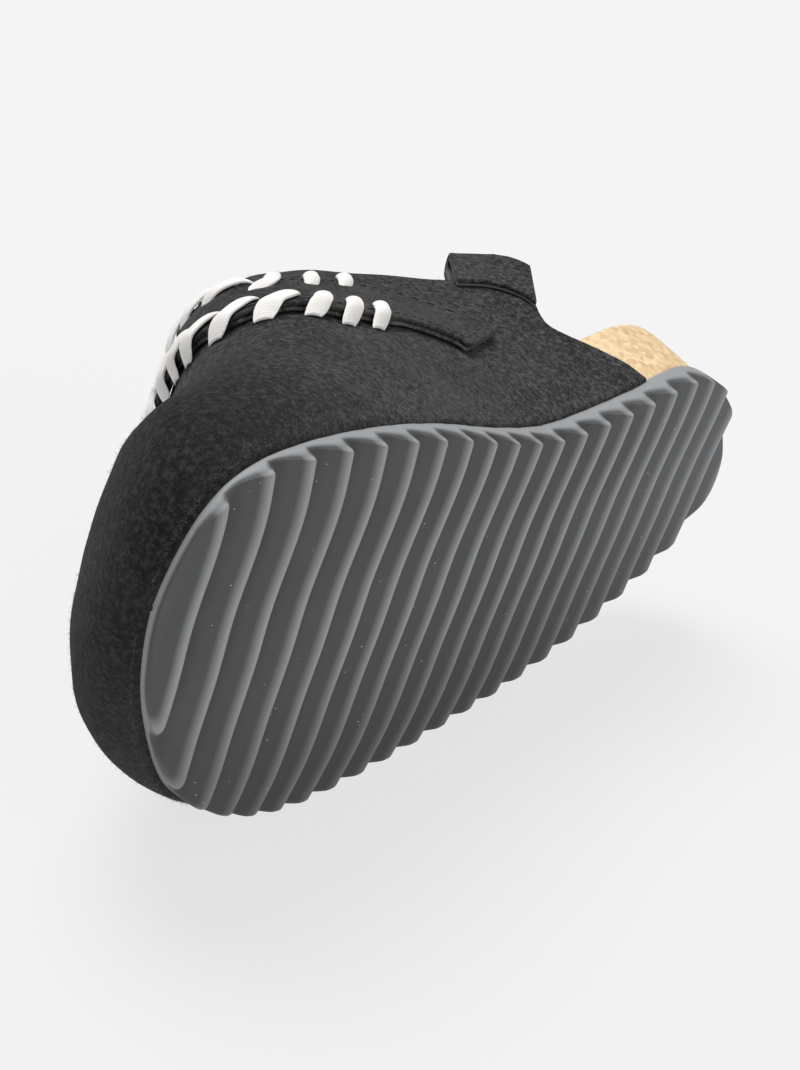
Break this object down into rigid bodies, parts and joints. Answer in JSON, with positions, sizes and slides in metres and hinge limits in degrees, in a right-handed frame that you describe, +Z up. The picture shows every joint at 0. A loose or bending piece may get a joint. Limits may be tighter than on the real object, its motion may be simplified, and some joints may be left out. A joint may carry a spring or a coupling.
{
  "type": "house slipper",
  "caption": "Closed-toe suede clog slipper for the right foot with a cork footbed, ribbed rubber outsole, laced instep strap and pull tab, lying on its outer side",
  "frame": {"origin": "Middle of the bottom of the box round the slipper as it lies on its outer side on the floor.", "axes": "+X runs from the toe to the heel, +Z is up from the floor, and +Y is the side that the top of the foot is on; the tread faces -Y."},
  "size_m": [0.2592, 0.1002, 0.1094],
  "materials": {
    "outsole": "matt moulded foam rubber",
    "footbed": "ground cork",
    "insole": "dark suede sock",
    "upper": "napped suede",
    "instep_strap": "napped suede, raw edge",
    "pull_tab": "napped suede, raw edge",
    "lace": "flat woven lace"
  },
  "bodies": {
    "root": {"outsole": "outsole", "footbed": "footbed", "insole": "insole", "upper": "upper", "instep_strap": "instep_strap", "pull_tab": "pull_tab", "lace_front_1": "lace", "lace_front_2": "lace", "lace_front_3": "lace", "lace_front_4": "lace", "lace_front_5": "lace", "lace_front_6": "lace", "lace_front_7": "lace", "lace_front_8": "lace", "lace_front_9": "lace", "lace_front_10": "lace", "lace_front_11": "lace", "lace_front_12": "lace", "lace_front_13": "lace", "lace_front_14": "lace", "lace_front_15": "lace", "lace_front_16": "lace", "lace_rear_1": "lace", "lace_rear_2": "lace", "lace_rear_3": "lace", "lace_rear_4": "lace", "lace_rear_5": "lace", "lace_rear_6": "lace", "lace_rear_7": "lace", "lace_rear_8": "lace", "lace_rear_9": "lace", "lace_rear_10": "lace", "lace_rear_11": "lace", "lace_rear_12": "lace"}
  },
  "joints": []
}
